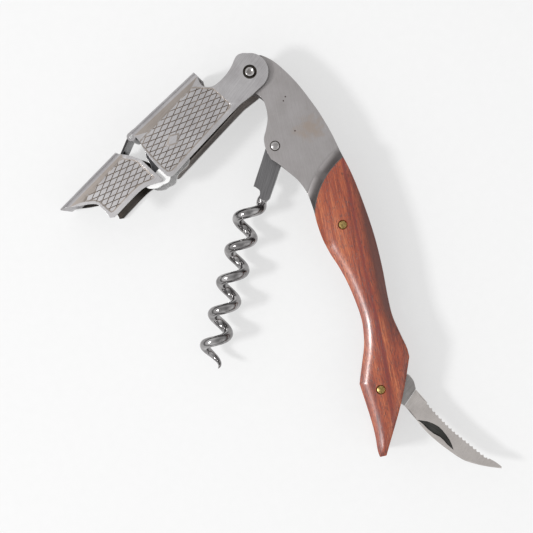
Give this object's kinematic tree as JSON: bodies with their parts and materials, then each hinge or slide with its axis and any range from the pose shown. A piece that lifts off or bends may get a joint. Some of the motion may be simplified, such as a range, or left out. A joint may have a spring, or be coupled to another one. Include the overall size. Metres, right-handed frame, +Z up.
{
  "type": "lever corkscrew",
  "caption": "Folding waiter's corkscrew with a two-stage hinged lever, a wire worm, wooden handle scales and a small serrated foil knife.",
  "frame": {"origin": "on the resting face (the outer face of the back scale), under the middle of the handle", "axes": "+Y from the pointed tail to the lever pivot, +X towards the knife side of the handle, +Z up off the resting face"},
  "size_m": [0.0929, 0.1329, 0.015],
  "materials": {
    "plate_steel": "diagonal brushed",
    "lever_steel": "satin with pressed diamond knurl",
    "polished_steel": "polished",
    "dark_steel": "plain turned",
    "worm_nickel": "smoked nickel",
    "blade_steel": "satin ground",
    "wood": "oiled red-brown hardwood",
    "brass": "ground flush"
  },
  "bodies": {
    "handle": {"front_plate": "plate_steel", "back_plate": "plate_steel", "front_scale": "wood", "back_scale": "wood", "spine_spacer": "plate_steel", "spacer_dowels": "plate_steel", "tail_spacer": "plate_steel", "scale_pin": "brass", "knife_pivot_pin": "brass", "lever_pivot_pin": "polished_steel", "lever_pivot_sleeve": "dark_steel", "lever_washer_front": "dark_steel", "lever_washer_back": "dark_steel", "worm_pivot_pin": "polished_steel", "worm_bush_front": "dark_steel", "worm_bush_back": "dark_steel", "knife_bush_front": "dark_steel", "knife_bush_back": "dark_steel"},
    "upper_arm": {"upper_lever": "lever_steel", "first_step_claw": "polished_steel", "knee_pin": "polished_steel"},
    "lower_arm": {"lower_lever": "lever_steel", "hinge_leaf": "polished_steel", "leaf_rivets": "lever_steel"},
    "worm_arm": {"worm": "worm_nickel"},
    "knife_arm": {"knife": "blade_steel"}
  },
  "joints": [
    {"name": "lever_swing", "type": "hinge", "parent": "handle", "child": "upper_arm", "pos_m": [-0.00985, 0.06025, 0.0075], "axis": [0, 0, 1], "range_deg": [-90, 58.6]},
    {"name": "worm_fold", "type": "hinge", "parent": "handle", "child": "worm_arm", "pos_m": [-0.0101, 0.0388, 0.0075], "axis": [0, 0, 1], "range_deg": [-48, 31]},
    {"name": "knee", "type": "hinge", "parent": "upper_arm", "child": "lower_arm", "pos_m": [-0.04714, 0.05459, 0.0075], "axis": [0, 0, 1], "range_deg": [-100, 0]},
    {"name": "knife_fold", "type": "hinge", "parent": "handle", "child": "knife_arm", "pos_m": [-0.0046, -0.0345, 0.0075], "axis": [0, 0, 1], "range_deg": [0, 124]}
  ],
  "couplings": [
    {"joint": "worm_fold", "follows": "lever_swing", "ratio": 0.525}
  ]
}
